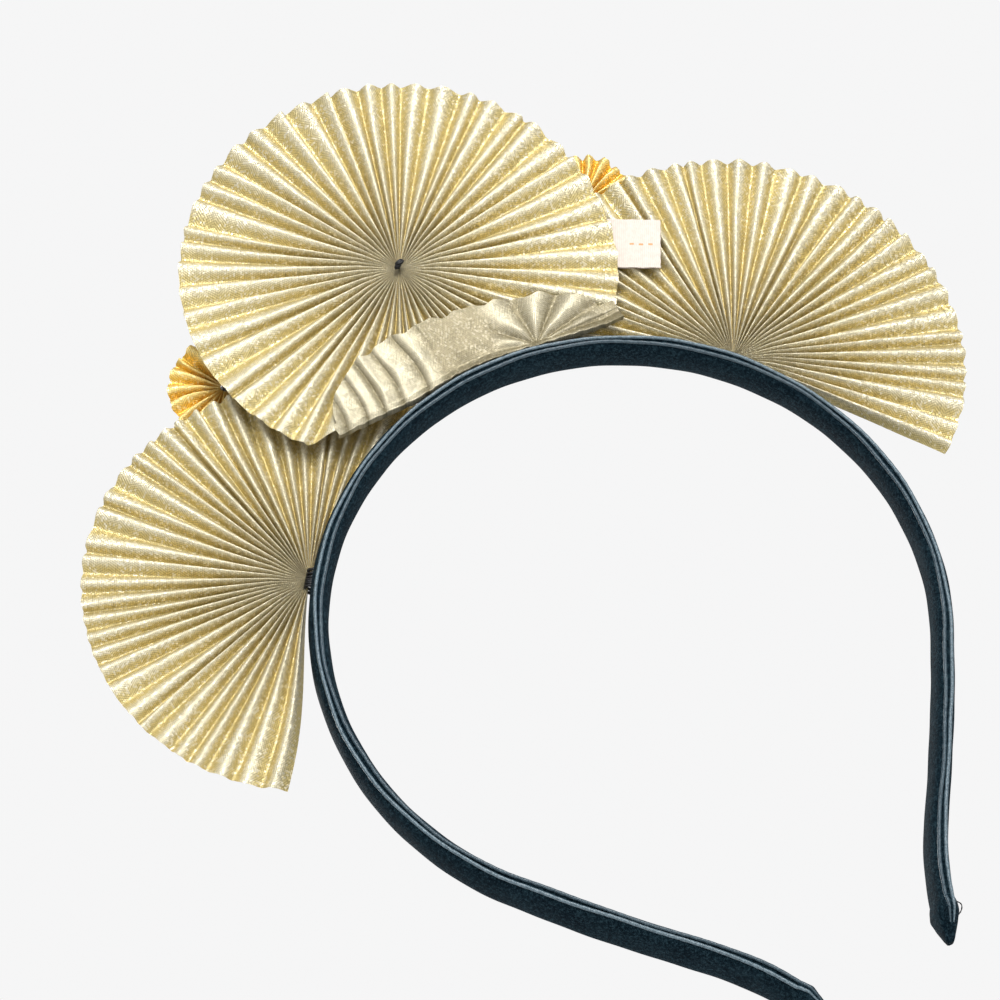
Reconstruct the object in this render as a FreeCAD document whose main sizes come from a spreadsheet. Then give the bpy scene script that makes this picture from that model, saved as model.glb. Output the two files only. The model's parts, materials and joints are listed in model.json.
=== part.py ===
"""Fan headband: a velvet-wrapped spring band with three pleated fans and two small rosettes sewn to it.

Frame: millimetres, +Z up as worn, X across the head (the wearer's left is +X), the front faces -Y.
The origin is the centre of the crown arc, which is where the head sits.
"""
import FreeCAD, Part
import math
import os

import Sketcher

doc = FreeCAD.newDocument("fan_headband")

# ---------------------------------------------------------------- driving dimensions
SIZES = [
    # band: a flat spring strip inside a velvet ribbon sleeve
    ("crown_radius", 60.2),      # centreline of the crown arc
    ("band_thick", 4.0),         # radial
    ("band_width", 9.0),         # front to back
    ("band_round", 1.6),         # rounded long edges of the sleeve
    ("core_thick", 1.4),
    ("core_width", 6.4),
    ("core_round", 0.5),
    ("core_play", 0.05),         # gap between the strip and its sleeve
    # legs: three tangent arcs from the widest point down to the tip
    ("leg_turn", 34.8),          # degrees at crown_radius
    ("calf_radius", 380.0),
    ("calf_turn", 5.55),
    ("foot_radius", 71.5),       # bends the other way
    ("foot_turn", 15.2),
    ("knuckle_radius", 2.0),     # rounded top of a leg, at its flexing line
    ("socket_radius", 2.2),      # hollow end of the crown around it
    # selvedges of the ribbon, side by side along the back edge
    ("seam_thick", 2.0),
    ("seam_width", 0.7),
    ("seam_round", 0.25),
    ("seam_gap", 0.01),          # between the sleeve and the selvedges on its back edge
    ("seam_setback", 3.0),       # degrees left free at both ends of the crown
    # folded ribbon end at each tip
    ("tip_length", 8.0),
    ("tip_bulge_drop", 2.5),
    ("tip_bulge_thick", 4.8),
    ("tip_bulge_width", 10.4),
    ("tip_end_thick", 1.8),
    ("tip_end_width", 3.0),
    # pleated cloth
    ("fan_depth", 2.8),          # thickness of a pleated disc
    ("centre_radius", 44.4),
    ("centre_hub_x", -3.6),
    ("centre_hub_z", 90.1),
    ("centre_front_y", 0.2),
    ("fold_distance", 27.7),     # hub to the folded lower edge
    ("fold_angle", 94.5),        # direction from that edge to the hub
    ("fold_depth", 1.6),         # thickness of the turned-up hem
    ("fold_gap", 0.1),
    ("side_back_y", -0.6),
    ("side_trim_radius", 62.4),  # the side fans stop at the band's outer face
    ("left_radius", 43.8),
    ("left_hub_radius", 63.3),
    ("left_hub_angle", 41.0),
    ("left_start", -51.6),
    ("left_span", 209.6),
    ("right_radius", 46.5),
    ("right_hub_radius", 64.2),
    ("right_hub_angle", 142.7),
    ("right_start", 34.0),
    ("right_span", 208.0),
    # small rosettes in front, in the notches between the fans
    ("small_radius", 11.4),
    ("small_depth", 2.2),
    ("small_back_y", -3.6),
    ("left_small_x", 38.7),
    ("left_small_z", 88.2),
    ("right_small_x", -46.1),
    ("right_small_z", 86.6),
    # sewing
    ("hub_hole", 1.0),
    ("knot_stem", 0.9),
    ("knot_flange", 1.8),
    ("knot_height", 0.6),
    ("loop_radius", 1.5),
    ("thread_radius", 0.35),
    ("stitch_count", 7),
    ("stitch_pitch", 4.2),       # degrees along the crown
    # woven label
    ("label_length", 8.3),
    ("label_width", 11.5),
    ("label_thick", 0.5),
    ("label_hem", 4.0),
    ("label_gap", 0.35),
    ("label_x", -45.6),
    ("label_z", 72.3),
    ("label_angle", 213.7),
    ("label_back_y", 0.05),
]
sheet = doc.addObject("Spreadsheet::Sheet", "Sizes")
for row, (alias, number) in enumerate(SIZES, start=1):
    sheet.set(f"A{row}", alias)
    sheet.set(f"B{row}", str(number))
    sheet.setAlias(f"B{row}", alias)
doc.recompute()
size = {alias: float(number) for alias, number in SIZES}
subparts = []


def cell(text):
    """An expression in which every $name is a cell of the sheet."""
    return text.replace("$", "Sizes.")


def bind(thing, **expressions):
    """Binds properties to the sheet; a double underscore in a name stands for a dot."""
    for name, text in expressions.items():
        thing.setExpression(name.replace("__", "."), cell(text))
    return thing


def keep(thing, label):
    """Marks an object as a finished sub-part."""
    thing.Label = label
    subparts.append(thing)
    return thing


# ---------------------------------------------------------------- sketch helpers
def new_body(name):
    return doc.addObject("PartDesign::Body", name)


def sketch_on(body, role, name, offset=None):
    """A sketch on one of the body's own origin planes."""
    plane = next(f for f in body.Origin.OriginFeatures if f.Role == role)
    sketch = body.newObject("Sketcher::SketchObject", name)
    sketch.AttachmentSupport = [(plane, "")]
    sketch.MapMode = "FlatFace"
    if offset is not None:
        sketch.AttachmentOffset = FreeCAD.Placement(
            FreeCAD.Vector(0, 0, offset), FreeCAD.Rotation()
        )
    return sketch


def constrain(sketch, text, *arguments):
    """Adds a dimension whose value follows the sheet."""
    index = sketch.addConstraint(Sketcher.Constraint(*arguments))
    sketch.setExpression(f"Constraints[{index}]", cell(text))


def rounded_rectangle(sketch, centre, spans, corner, texts):
    """A rounded rectangle. spans is (across, along) and texts the cells for across, along, corner, x and y."""
    across, along = spans[0] / 2, spans[1] / 2
    x, y = centre
    vector = FreeCAD.Vector

    def side(x1, y1, x2, y2):
        return Part.LineSegment(vector(x1, y1, 0), vector(x2, y2, 0))

    def round_corner(cx, cy, start):
        circle = Part.Circle(vector(cx, cy, 0), vector(0, 0, 1), corner)
        return Part.ArcOfCircle(circle, math.radians(start), math.radians(start + 90))

    inner_x, inner_y = across - corner, along - corner
    sketch.addGeometry([
        side(x - inner_x, y - along, x + inner_x, y - along),
        round_corner(x + inner_x, y - inner_y, 270),
        side(x + across, y - inner_y, x + across, y + inner_y),
        round_corner(x + inner_x, y + inner_y, 0),
        side(x + inner_x, y + along, x - inner_x, y + along),
        round_corner(x - inner_x, y + inner_y, 90),
        side(x - across, y + inner_y, x - across, y - inner_y),
        round_corner(x - inner_x, y - inner_y, 180),
    ], False)
    for line in (0, 2, 4, 6):
        sketch.addConstraint(Sketcher.Constraint("Tangent", line, 2, line + 1, 1))
        sketch.addConstraint(
            Sketcher.Constraint("Tangent", line + 1, 2, (line + 2) % 8, 1)
        )
        way = "Horizontal" if line in (0, 4) else "Vertical"
        sketch.addConstraint(Sketcher.Constraint(way, line))
    for arc in (3, 5, 7):
        sketch.addConstraint(Sketcher.Constraint("Equal", 1, arc))
    constrain(sketch, texts["corner"], "Radius", 1, corner)
    constrain(sketch, texts["across"], "DistanceX", 6, 1, 2, 1, 2 * across)
    constrain(sketch, texts["along"], "DistanceY", 0, 1, 4, 1, 2 * along)
    outer_x = x + across
    if outer_x > 0:
        constrain(sketch, texts["x"], "DistanceX", -1, 1, 2, 1, outer_x)
    else:
        constrain(sketch, texts["x"], "DistanceX", 2, 1, -1, 1, -outer_x)
    top_y = y + along
    constrain(sketch, texts["y"], "DistanceY", -1, 1, 4, 1, top_y)


def band_section(body, name, side, kind):
    """The section of the sleeve, the strip, the strip's channel or the selvedges, at the widest point."""
    across_text, along_text, corner_text, middle_text = {
        "sleeve": ("$band_thick", "$band_width", "$band_round", "0"),
        "strip": ("$core_thick", "$core_width", "$core_round", "0"),
        "channel": (
            "$core_thick + 2 * $core_play",
            "$core_width + 2 * $core_play",
            "$core_round + $core_play",
            "0",
        ),
        "seam": (
            "$seam_thick",
            "$seam_width",
            "$seam_round",
            "$band_width / 2 + $seam_gap + $seam_width / 2",
        ),
    }[kind]
    sums = {
        "sleeve": (size["band_thick"], size["band_width"], size["band_round"], 0.0),
        "strip": (size["core_thick"], size["core_width"], size["core_round"], 0.0),
        "channel": (
            size["core_thick"] + 2 * size["core_play"],
            size["core_width"] + 2 * size["core_play"],
            size["core_round"] + size["core_play"],
            0.0,
        ),
        "seam": (
            size["seam_thick"],
            size["seam_width"],
            size["seam_round"],
            size["band_width"] / 2 + size["seam_gap"] + size["seam_width"] / 2,
        ),
    }[kind]
    sketch = sketch_on(body, "XY_Plane", name)
    sign = "+" if side > 0 else "-"
    rounded_rectangle(
        sketch,
        (side * size["crown_radius"], sums[3]),
        sums[:2],
        sums[2],
        {
            "corner": corner_text,
            "across": across_text,
            "along": along_text,
            "x": f"$crown_radius {sign} ({across_text}) / 2",
            "y": f"{middle_text} + ({along_text}) / 2",
        },
    )
    return sketch


def leg_path(body, name, side):
    """The centreline of one leg: three tangent arcs in the XZ plane."""
    sketch = sketch_on(body, "XZ_Plane", name)
    vector = FreeCAD.Vector
    heading = 0.0  # how far the leg has turned inwards since the widest point, in degrees
    point = vector(side * size["crown_radius"], 0, 0)
    for index, (radius, turn, bends_in) in enumerate([
        (size["crown_radius"], size["leg_turn"], True),
        (size["calf_radius"], size["calf_turn"], True),
        (size["foot_radius"], size["foot_turn"], False),
    ]):
        inward = vector(
            -side * math.cos(math.radians(heading)), math.sin(math.radians(heading)), 0
        )
        centre = point + inward * (radius if bends_in else -radius)
        start = math.degrees(math.atan2(point.y - centre.y, point.x - centre.x))
        sweep = -side * turn if bends_in else side * turn
        low, high = sorted((math.radians(start), math.radians(start + sweep)))
        circle = Part.Circle(centre, vector(0, 0, 1), radius)
        sketch.addGeometry(Part.ArcOfCircle(circle, low, high), False)
        first, last = (1, 2) if sweep > 0 else (2, 1)
        if index == 0:
            sketch.addConstraint(Sketcher.Constraint("Coincident", 0, 3, -1, 1))
            sketch.addConstraint(Sketcher.Constraint("PointOnObject", 0, first, -1))
        else:
            sketch.addConstraint(
                Sketcher.Constraint("Tangent", index - 1, previous_last, index, first)
            )
        previous_last = last
        radius_text, turn_text = [
            ("$crown_radius", "$leg_turn"),
            ("$calf_radius", "$calf_turn"),
            ("$foot_radius", "$foot_turn"),
        ][index]
        constrain(sketch, radius_text, "Radius", index, radius)
        constrain(
            sketch, turn_text + " * 1 deg", "Angle", index, math.radians(turn)
        )
        end = math.radians(start + sweep)
        point = centre + vector(math.cos(end), math.sin(end), 0) * radius
        heading += turn if bends_in else -turn
    return sketch, point, heading


# ---------------------------------------------------------------- band
def sockets(body):
    """Hollows both ends of a crown piece round the knuckles of the legs."""
    sketch = sketch_on(body, "XZ_Plane", body.Name + "_sockets")
    for index, side in enumerate((1, -1)):
        centre = FreeCAD.Vector(side * size["crown_radius"], 0, 0)
        sketch.addGeometry(
            Part.Circle(centre, FreeCAD.Vector(0, 0, 1), size["socket_radius"]), False
        )
        sketch.addConstraint(Sketcher.Constraint("PointOnObject", index, 3, -1))
        constrain(sketch, "$socket_radius", "Radius", index, size["socket_radius"])
        ends = (-1, 1, index, 3) if side > 0 else (index, 3, -1, 1)
        constrain(sketch, "$crown_radius", "DistanceX", *ends, size["crown_radius"])
    pocket = body.newObject("PartDesign::Pocket", body.Name + "_socket_cut")
    pocket.Profile = sketch
    pocket.Midplane = True
    bind(pocket, Length="3 * $band_width")
    return pocket


def crown_piece(label, kind, hollow=False):
    """Half a turn of a band section about the head's axis, over the top. The selvedges stop short of its ends."""
    body = new_body(label)
    section = band_section(body, label + "_section", 1, kind)
    arch = body.newObject("PartDesign::Revolution", label + "_arch")
    arch.Profile = section
    arch.ReferenceAxis = (section, ["V_Axis"])
    arch.Angle = 180
    arch.Reversed = True
    if kind == "seam":
        bind(arch, Angle="180 - 2 * $seam_setback")
        body.Tip = arch
        body.Placement = FreeCAD.Placement(
            FreeCAD.Vector(),
            FreeCAD.Rotation(FreeCAD.Vector(0, 1, 0), -size["seam_setback"]),
        )
        return keep(body, label)
    if hollow:
        channel = band_section(body, label + "_channel_section", 1, "channel")
        groove = body.newObject("PartDesign::Groove", label + "_channel")
        groove.Profile = channel
        groove.ReferenceAxis = (channel, ["V_Axis"])
        groove.Angle = 180
        groove.Reversed = True
    body.Tip = sockets(body)
    return keep(body, label)


def leg_piece(label, side, kind, knuckle=False):
    """A band section carried down one leg; the sleeve also has the knuckle at its top and the strip's channel."""
    body = new_body(label)
    path, end, heading = leg_path(body, label + "_path", side)
    section = band_section(body, label + "_section", side, kind)
    pipe = body.newObject("PartDesign::AdditivePipe", label + "_run")
    pipe.Profile = section
    pipe.Spine = path
    body.Tip = pipe
    if knuckle:
        sketch = sketch_on(body, "XZ_Plane", label + "_knuckle_section")
        centre = FreeCAD.Vector(side * size["crown_radius"], 0, 0)
        sketch.addGeometry(
            Part.Circle(centre, FreeCAD.Vector(0, 0, 1), size["knuckle_radius"]), False
        )
        sketch.addConstraint(Sketcher.Constraint("PointOnObject", 0, 3, -1))
        constrain(sketch, "$knuckle_radius", "Radius", 0, size["knuckle_radius"])
        ends = (-1, 1, 0, 3) if side > 0 else (0, 3, -1, 1)
        constrain(sketch, "$crown_radius", "DistanceX", *ends, size["crown_radius"])
        pad = body.newObject("PartDesign::Pad", label + "_knuckle")
        pad.Profile = sketch
        pad.Midplane = True
        bind(pad, Length="$band_width - $band_round")
        channel = band_section(body, label + "_channel_section", side, "channel")
        channel_path, _, _ = leg_path(body, label + "_channel_path", side)
        cut = body.newObject("PartDesign::SubtractivePipe", label + "_channel")
        cut.Profile = channel
        cut.Spine = channel_path
        body.Tip = cut
    keep(body, label)
    return end, heading


def tip_fold(label, side, end, heading):
    """The ribbon's folded end: it swells over the strip's end and then is pinched to a point."""
    body = new_body(label)
    sections = []
    for name, drop, across, along in (
        ("top", "0", "$band_thick", "$band_width"),
        ("bulge", "$tip_bulge_drop", "$tip_bulge_thick", "$tip_bulge_width"),
        ("end", "$tip_length", "$tip_end_thick", "$tip_end_width"),
    ):
        across_now, along_now = size[across[1:]], size[along[1:]]
        drop_now = size[drop[1:]] if drop != "0" else 0.0
        sketch = sketch_on(body, "XY_Plane", f"{label}_{name}", offset=-drop_now)
        if drop != "0":
            bind(sketch, AttachmentOffset__Base__z=f"-{drop}")
        rounded_rectangle(
            sketch,
            (0.0, 0.0),
            (across_now, along_now),
            size["core_round"],
            {
                "corner": "$core_round",
                "across": across,
                "along": along,
                "x": f"{across} / 2",
                "y": f"{along} / 2",
            },
        )
        sections.append(sketch)
    loft = body.newObject("PartDesign::AdditiveLoft", label + "_loft")
    loft.Profile = sections[0]
    loft.Sections = sections[1:]
    loft.Ruled = True
    body.Tip = loft
    body.Placement = FreeCAD.Placement(
        FreeCAD.Vector(end.x, 0, end.y),
        FreeCAD.Rotation(FreeCAD.Vector(0, 1, 0), side * heading),
    )
    keep(body, label)


crown_piece("crown_core", "strip")
crown_piece("crown_velvet", "sleeve", hollow=True)
crown_piece("crown_selvedges", "seam")
for word, side in (("left", 1), ("right", -1)):
    leg_piece(f"{word}_leg_core", side, "strip")
    end, heading = leg_piece(f"{word}_leg_velvet", side, "sleeve", knuckle=True)
    leg_piece(f"{word}_leg_selvedges", side, "seam")
    tip_fold(f"{word}_tip_fold", side, end, heading)


# ---------------------------------------------------------------- pleated cloth and sewing
UPRIGHT = FreeCAD.Rotation(FreeCAD.Vector(1, 0, 0), 90)  # local Z becomes -Y, local Y becomes Z


def facing(x, y, z, angle=0.0):
    """A placement in the plane of the fans, turned by angle from +X towards +Z."""
    turn = FreeCAD.Rotation(FreeCAD.Vector(0, 0, 1), angle)
    return FreeCAD.Placement(FreeCAD.Vector(x, y, z), UPRIGHT.multiply(turn))


def disc(name, radius, height, place, span=None):
    """A cylinder or sector whose back face is at the placement and which grows towards -Y."""
    solid = doc.addObject("Part::Cylinder", name)
    bind(solid, Radius=radius, Height=height)
    if span is not None:
        bind(solid, Angle=span)
    solid.Placement = place
    return solid


def cut(name, base, tool):
    result = doc.addObject("Part::Cut", name)
    result.Base = base
    result.Tool = tool
    return result


def polar(radius, angle):
    return radius * math.cos(math.radians(angle)), radius * math.sin(math.radians(angle))


def through_cutter(name, radius, x, z):
    """A round cutter along Y, long enough for every layer."""
    solid = doc.addObject("Part::Cylinder", name)
    bind(solid, Radius=radius, Height="10 * $fan_depth")
    solid.Placement = facing(x, 5 * size["fan_depth"], z)
    return solid


def slab(name, length, width, height, x, y, z, angle, middle=0.5):
    """A box in the plane of the fans: its length runs from the placement along angle, its width is centred."""
    solid = doc.addObject("Part::Box", name)
    bind(solid, Length=length, Width=width, Height=height)
    doc.recompute()
    start = facing(x, y, z, angle)
    solid.Placement = start.multiply(
        FreeCAD.Placement(
            FreeCAD.Vector(0, -middle * float(solid.Width), 0), FreeCAD.Rotation()
        )
    )
    return solid


def centre_pieces():
    """The full rosette on top of the crown and the hem that is turned up behind it."""
    x, z = size["centre_hub_x"], size["centre_hub_z"]
    angle = size["fold_angle"]
    back = size["centre_front_y"] + size["fan_depth"]
    foot_x = x - polar(size["fold_distance"], angle)[0]
    foot_z = z - polar(size["fold_distance"], angle)[1]
    whole = disc("centre_whole", "$centre_radius", "$fan_depth", facing(x, back, z))
    below = slab(
        "centre_below", "$centre_radius", "3 * $centre_radius", "3 * $fan_depth",
        foot_x, back + size["fan_depth"], foot_z, angle + 180,
    )
    trimmed = cut("centre_trimmed", whole, below)
    hole = through_cutter("centre_hole", "$hub_hole", x, z)
    keep(cut("centre_rosette_cut", trimmed, hole), "centre_rosette")

    # the hem is the lower segment of the same disc, mirrored in the fold
    mirror_x = x - 2 * polar(size["fold_distance"], angle)[0]
    mirror_z = z - 2 * polar(size["fold_distance"], angle)[1]
    hem_back = back + size["fold_gap"] + size["fold_depth"]
    mirrored = disc(
        "hem_whole", "$centre_radius", "$fold_depth", facing(mirror_x, hem_back, mirror_z)
    )
    above = slab(
        "hem_above", "$centre_radius", "3 * $centre_radius", "3 * $fan_depth",
        foot_x, hem_back + size["fan_depth"], foot_z, angle,
    )
    hem = doc.addObject("Part::Common", "hem_common")
    hem.Base = mirrored
    hem.Tool = above
    keep(hem, "centre_turned_hem")


def side_fan(word):
    """A half fan whose hub sits on the band's outer face."""
    x, z = polar(size[f"{word}_hub_radius"], size[f"{word}_hub_angle"])
    place = facing(x, size["side_back_y"], z, size[f"{word}_start"])
    sector = disc(
        f"{word}_sector", f"${word}_radius", "$fan_depth", place, f"${word}_span"
    )
    band = through_cutter(f"{word}_band_trim", "$side_trim_radius", 0, 0)
    trimmed = cut(f"{word}_trimmed", sector, band)
    notch = through_cutter(f"{word}_notch", "$hub_hole", x, z)
    keep(cut(f"{word}_fan_cut", trimmed, notch), f"{word}_fan")


def small_rosette(word):
    x, z = size[f"{word}_small_x"], size[f"{word}_small_z"]
    whole = disc(
        f"{word}_small_whole", "$small_radius", "$small_depth",
        facing(x, size["small_back_y"], z),
    )
    hole = through_cutter(f"{word}_small_hole", "$hub_hole", x, z)
    keep(cut(f"{word}_small_cut", whole, hole), f"{word}_small_rosette")


def knot(label, x, z, stem_back, stem_length, flange_backs):
    """Thread through a rosette's hub, with a flattened knot at each of flange_backs."""
    pieces = [disc(label + "_stem", "$knot_stem", stem_length, facing(x, stem_back, z))]
    for index, back in enumerate(flange_backs):
        pieces.append(
            disc(f"{label}_flange{index}", "$knot_flange", "$knot_height", facing(x, back, z))
        )
    fused = doc.addObject("Part::MultiFuse", label + "_fuse")
    fused.Shapes = pieces
    keep(fused, label)


def thread_loop(name, x, y, z, axis, angle):
    """One small round stitch."""
    loop = doc.addObject("Part::Torus", name)
    bind(loop, Radius1="$loop_radius", Radius2="$thread_radius")
    loop.Placement = FreeCAD.Placement(
        FreeCAD.Vector(x, y, z), FreeCAD.Rotation(FreeCAD.Vector(*axis), angle)
    )
    return loop


def group(label, pieces):
    compound = doc.addObject("Part::Compound", label + "_group")
    compound.Links = pieces
    keep(compound, label)


def hub_thread(word):
    """Whip stitches that hold a side fan's gathered hub to the band."""
    middle_y = size["side_back_y"] - size["fan_depth"] / 2
    spacing = 2.4 * size["thread_radius"]
    loops = []
    for index in (-1, 0, 1):
        x, z = polar(
            size[f"{word}_hub_radius"] - size["loop_radius"] / 4,
            size[f"{word}_hub_angle"] + math.degrees(index * spacing / size["crown_radius"]),
        )
        loops.append(
            thread_loop(
                f"{word}_hub_loop{index + 1}", x, middle_y, z,
                (0, 1, 0), -size[f"{word}_hub_angle"],
            )
        )
    group(f"{word}_hub_thread", loops)


def crown_stitches():
    """Whip stitches along the fold, through the rosette's lower edge and the velvet."""
    count = int(size["stitch_count"])
    middle_y = size["centre_front_y"] + size["fan_depth"] / 2
    loops = []
    for index in range(count):
        angle = size["fold_angle"] + (index - (count - 1) / 2) * size["stitch_pitch"]
        x, z = polar(size["crown_radius"] + size["band_thick"] / 2 + size["loop_radius"] / 2, angle)
        loops.append(thread_loop(f"crown_loop{index}", x, middle_y, z, (0, 1, 0), -angle))
    group("crown_stitches", loops)


def label_pieces():
    x, z = size["label_x"], size["label_z"]
    angle, back = size["label_angle"], size["label_back_y"]
    flat = slab(
        "label_slab", "$label_length", "$label_width", "$label_thick", x, back, z, angle
    )
    roll = doc.addObject("Part::Cylinder", "label_roll")
    bind(roll, Radius="$label_thick / 2", Height="$label_width")
    roll.Placement = facing(x, back, z, angle).multiply(
        FreeCAD.Placement(
            FreeCAD.Vector(0, -size["label_width"] / 2, size["label_thick"] / 2),
            FreeCAD.Rotation(FreeCAD.Vector(1, 0, 0), -90),
        )
    )
    rounded = doc.addObject("Part::MultiFuse", "label_rounded")
    rounded.Shapes = [flat, roll]
    keep(rounded, "label_tab")
    step_x, step_z = polar(size["label_gap"], angle + 180)
    keep(
        slab(
            "hem_slab", "$label_hem", "$label_width", "$label_thick",
            x + step_x, back, z + step_z, angle + 180,
        ),
        "label_hem",
    )


centre_pieces()
for word in ("left", "right"):
    side_fan(word)
    small_rosette(word)
    hub_thread(word)
    front = size["small_back_y"] - size["small_depth"]
    knot(
        f"{word}_small_knot",
        size[f"{word}_small_x"],
        size[f"{word}_small_z"],
        size["centre_front_y"],
        "$centre_front_y - $small_back_y + $small_depth + $knot_height",
        [front],
    )
centre_back = size["centre_front_y"] + size["fan_depth"]
knot(
    "centre_knot",
    size["centre_hub_x"],
    size["centre_hub_z"],
    centre_back + size["knot_height"],
    "$fan_depth + 2 * $knot_height",
    [centre_back + size["knot_height"], size["centre_front_y"]],
)
crown_stitches()
label_pieces()

# ---------------------------------------------------------------- check and write
doc.recompute()
for thing in doc.Objects:
    if {"Invalid", "Error"} & set(thing.State):
        raise RuntimeError(f"{thing.Label} failed: {thing.State}")
os.makedirs("parts", exist_ok=True)
for thing in subparts:
    shape = thing.Shape
    if shape.isNull() or not shape.isValid():
        raise RuntimeError(f"{thing.Label} has no valid shape")
    box = shape.BoundBox
    print(
        f"{thing.Label:22s} solids {len(shape.Solids)} volume {shape.Volume:9.1f} mm3"
        f"  X {box.XMin:7.2f} {box.XMax:7.2f}  Y {box.YMin:6.2f} {box.YMax:6.2f}"
        f"  Z {box.ZMin:7.2f} {box.ZMax:7.2f}"
    )
    shape.exportStep(f"parts/{thing.Label}.step")
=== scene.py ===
import json
import math

import bmesh
import bpy
import numpy as np
from mathutils import Matrix, Vector


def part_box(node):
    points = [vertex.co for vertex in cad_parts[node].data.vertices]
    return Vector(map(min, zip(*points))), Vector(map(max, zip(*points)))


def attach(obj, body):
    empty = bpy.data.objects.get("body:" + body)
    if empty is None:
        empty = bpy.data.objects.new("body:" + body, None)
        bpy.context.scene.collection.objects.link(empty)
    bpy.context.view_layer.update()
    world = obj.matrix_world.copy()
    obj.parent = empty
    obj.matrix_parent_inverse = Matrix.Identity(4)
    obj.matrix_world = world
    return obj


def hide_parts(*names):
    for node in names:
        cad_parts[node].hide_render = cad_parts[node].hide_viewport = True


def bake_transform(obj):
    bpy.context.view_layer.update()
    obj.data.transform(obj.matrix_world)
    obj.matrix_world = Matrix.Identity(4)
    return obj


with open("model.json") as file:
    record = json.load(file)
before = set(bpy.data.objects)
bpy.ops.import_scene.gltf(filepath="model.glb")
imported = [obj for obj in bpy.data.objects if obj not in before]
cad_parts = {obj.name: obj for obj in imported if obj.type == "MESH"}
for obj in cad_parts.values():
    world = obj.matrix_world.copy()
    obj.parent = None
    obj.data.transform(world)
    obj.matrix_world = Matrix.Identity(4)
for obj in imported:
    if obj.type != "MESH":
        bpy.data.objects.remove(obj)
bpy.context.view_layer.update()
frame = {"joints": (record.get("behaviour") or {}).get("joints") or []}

MM = 0.001
TAU = 2 * math.pi


# ---------------------------------------------------------------- places taken from the frame
def corners(node):
    low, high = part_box(node)
    return np.array(low), np.array(high)


def middle(node):
    low, high = corners(node)
    return (low + high) / 2


def hinge_of(joint):
    """Where a joint turns and its axis."""
    found = next(j for j in frame["joints"] if j["name"] == joint)
    return np.array(found["pos_m"]), np.array(found["axis"])


def pivot(joint):
    return hinge_of(joint)[0]


# ---------------------------------------------------------------- mesh tools
def surface(name, points, uv=None, values=None, wrap=False):
    """A mesh from a grid of points (rows, columns, 3). wrap joins the last column to the first."""
    rows, columns = points.shape[:2]
    index = np.arange(rows * columns).reshape(rows, columns)
    right = np.roll(index, -1, axis=1)
    if not wrap:
        index, right = index[:, :-1], right[:, :-1]
    quads = np.stack([index[:-1], right[:-1], right[1:], index[1:]], axis=-1).reshape(-1, 4)
    mesh = bpy.data.meshes.new(name)
    mesh.from_pydata(points.reshape(-1, 3).tolist(), [], quads.tolist())
    mesh.polygons.foreach_set("use_smooth", [True] * len(mesh.polygons))
    if uv is not None:
        layer = mesh.uv_layers.new(name="cut")
        corner_vertex = np.zeros(len(mesh.loops), int)
        mesh.loops.foreach_get("vertex_index", corner_vertex)
        layer.data.foreach_set("uv", uv.reshape(-1, 2)[corner_vertex].ravel())
    for key, array in (values or {}).items():
        attribute = mesh.attributes.new(key, "FLOAT", "POINT")
        attribute.data.foreach_set("value", np.asarray(array, np.float32).ravel())
    mesh.update()
    obj = bpy.data.objects.new(name, mesh)
    bpy.context.scene.collection.objects.link(obj)
    return obj


def trim(obj, radius):
    """Takes away what lies inside a cylinder round the Y axis."""
    cut = bmesh.new()
    cut.from_mesh(obj.data)
    inside = [v for v in cut.verts if math.hypot(v.co.x, v.co.z) < radius]
    bmesh.ops.delete(cut, geom=inside, context="VERTS")
    cut.to_mesh(obj.data)
    cut.free()


def cap(obj, columns, rows, both=True):
    """Closes the last end of a wrapped grid, or both."""
    mesh = obj.data
    points = [v.co[:] for v in mesh.vertices]
    faces = [tuple(p.vertices) for p in mesh.polygons]
    if both:
        faces.append(tuple(range(columns)))
    faces.append(tuple(range((rows - 1) * columns, rows * columns))[::-1])
    new = bpy.data.meshes.new(mesh.name)
    new.from_pydata(points, [], faces)
    new.polygons.foreach_set("use_smooth", [True] * len(new.polygons))
    obj.data = new
    return obj


def tube(name, path, radius, sides=8, twist=0.0, strands=0, depth=0.0, closed=False):
    """A tube along path (n, 3). strands and depth give it the grooves of a twisted yarn, twist is their turn
    in radians per station."""
    path = np.asarray(path, float)
    count = len(path)
    ahead = np.roll(path, -1, 0) - np.roll(path, 1, 0)
    if not closed:
        ahead[0], ahead[-1] = path[1] - path[0], path[-1] - path[-2]
    ahead /= np.linalg.norm(ahead, axis=1)[:, None]
    side = np.cross(ahead[0], (0.31, 0.22, 0.93))
    rings = np.zeros((count, sides, 3))
    turn = np.arange(sides) / sides * TAU
    radius = np.broadcast_to(radius, (count,))
    for i in range(count):
        side = side - ahead[i] * (side @ ahead[i])
        side /= np.linalg.norm(side)
        other = np.cross(ahead[i], side)
        r = radius[i] * (1 + depth * np.cos(strands * turn - twist * i))
        rings[i] = path[i] + r[:, None] * (np.cos(turn)[:, None] * side + np.sin(turn)[:, None] * other)
    if closed:
        rings = np.concatenate([rings, rings[:1]])
    obj = surface(name, rings, wrap=True)
    return obj if closed else cap(obj, sides, count)


def joined(name, objects):
    """One object from several meshes."""
    points, faces = [], []
    for o in objects:
        base = len(points)
        points += [v.co[:] for v in o.data.vertices]
        faces += [tuple(base + i for i in p.vertices) for p in o.data.polygons]
        bpy.data.objects.remove(o)
    mesh = bpy.data.meshes.new(name)
    mesh.from_pydata(points, [], faces)
    mesh.polygons.foreach_set("use_smooth", [True] * len(mesh.polygons))
    obj = bpy.data.objects.new(name, mesh)
    bpy.context.scene.collection.objects.link(obj)
    return obj


def place(obj, body, slot, finish, *nodes):
    """Gives a piece its material and lets it ride on a body."""
    obj.data.materials.append(finish)
    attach(obj, body)
    if nodes:
        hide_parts(*nodes)
    return obj


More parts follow.
